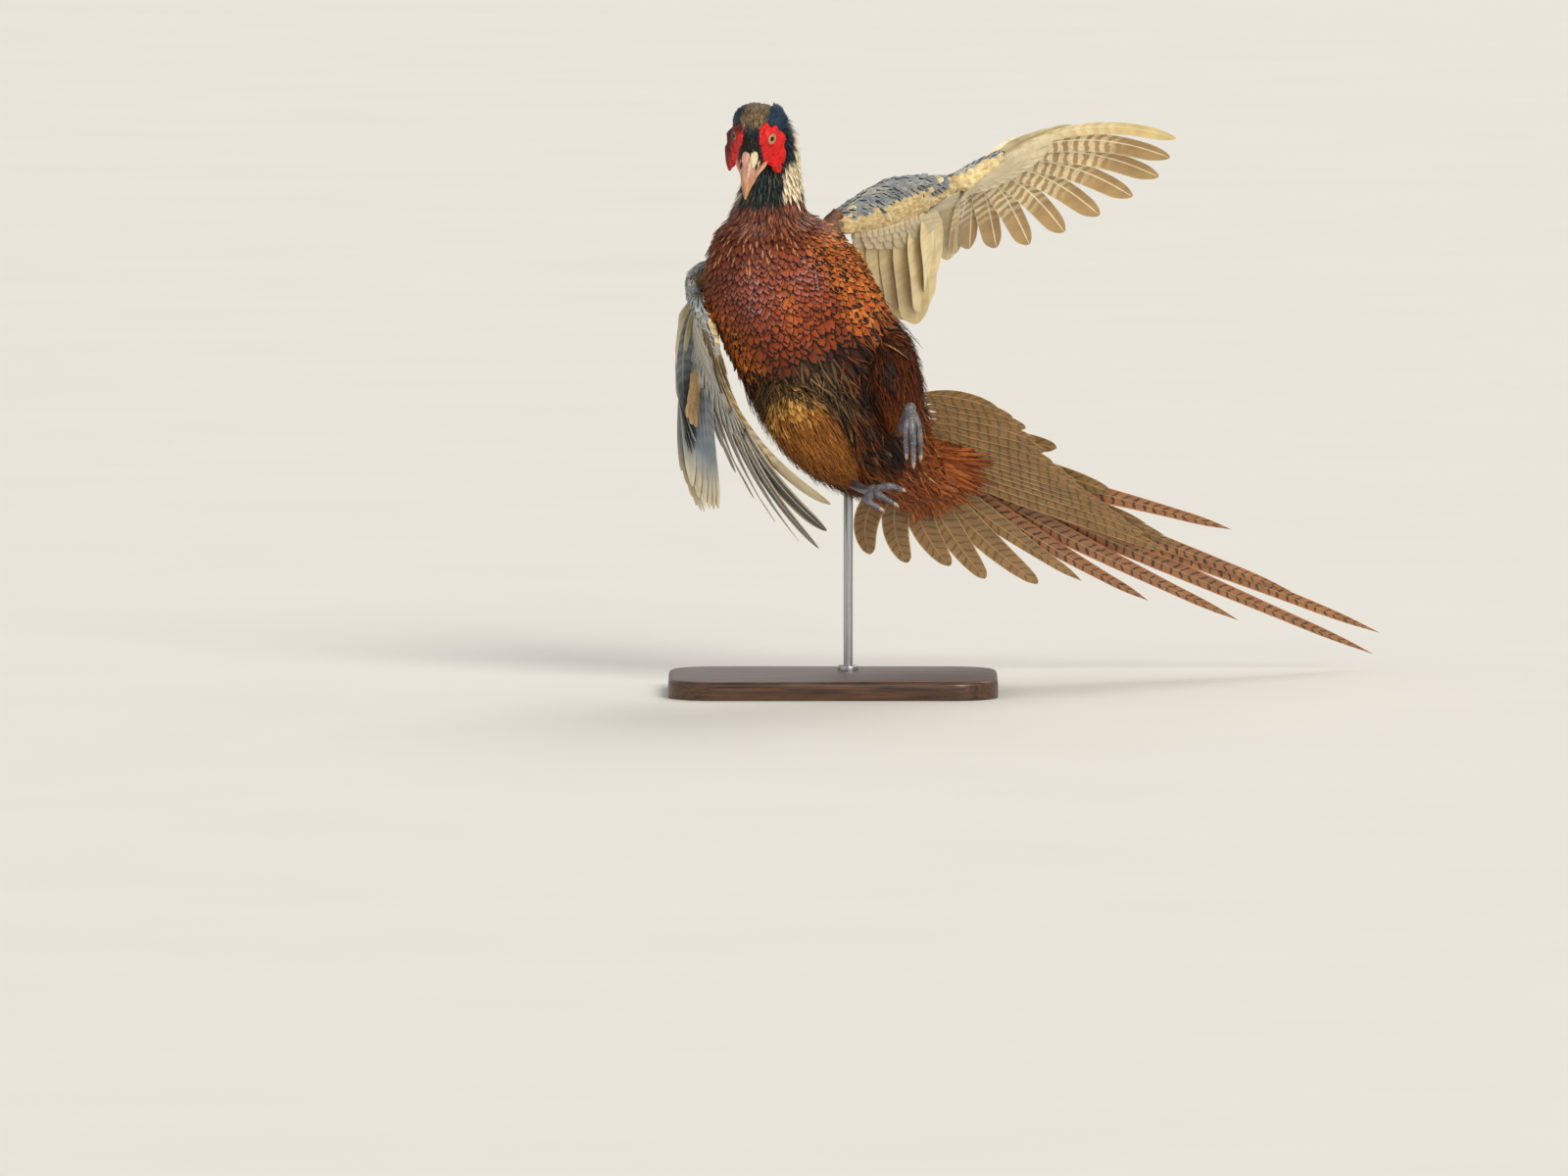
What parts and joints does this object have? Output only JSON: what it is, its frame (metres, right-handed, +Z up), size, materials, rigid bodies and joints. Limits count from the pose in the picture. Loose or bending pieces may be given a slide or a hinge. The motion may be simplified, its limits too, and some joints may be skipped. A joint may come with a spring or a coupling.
{
  "type": "common pheasant",
  "caption": "Life-size cock common pheasant leaping with wings and tail spread, held on a rod over a flat display base.",
  "frame": {"origin": "middle of the stand's flat underside", "axes": "+Z up, -Y where the bird's breast faces, +X the bird's left side and the longest way, along the hanging tail"},
  "size_m": [0.612, 0.3977, 0.5085],
  "materials": {
    "plumage_body": "satin",
    "plumage_head": "satin",
    "plumage_wing": "satin",
    "plumage_tail": "satin",
    "bill": "satin",
    "eye": "gloss",
    "foot_skin": "matte",
    "stand_wood": "satin",
    "stand_steel": "brushed"
  },
  "bodies": {
    "root": {"torso": "plumage_body", "neck": "plumage_head", "head": "plumage_head", "bill_upper": "bill", "bill_lower": "bill", "eye_left": "eye", "eye_right": "eye", "wing_left_hand": "plumage_wing", "wing_left_arm": "plumage_wing", "wing_right_hand": "plumage_wing", "wing_right_arm": "plumage_wing", "thigh_right": "plumage_body", "tarsus_right": "foot_skin", "foot_right": "foot_skin", "thigh_left": "plumage_body", "tarsus_left": "foot_skin", "foot_left": "foot_skin", "tail": "plumage_tail", "stand_base": "stand_wood", "stand_rod": "stand_steel"}
  },
  "joints": []
}
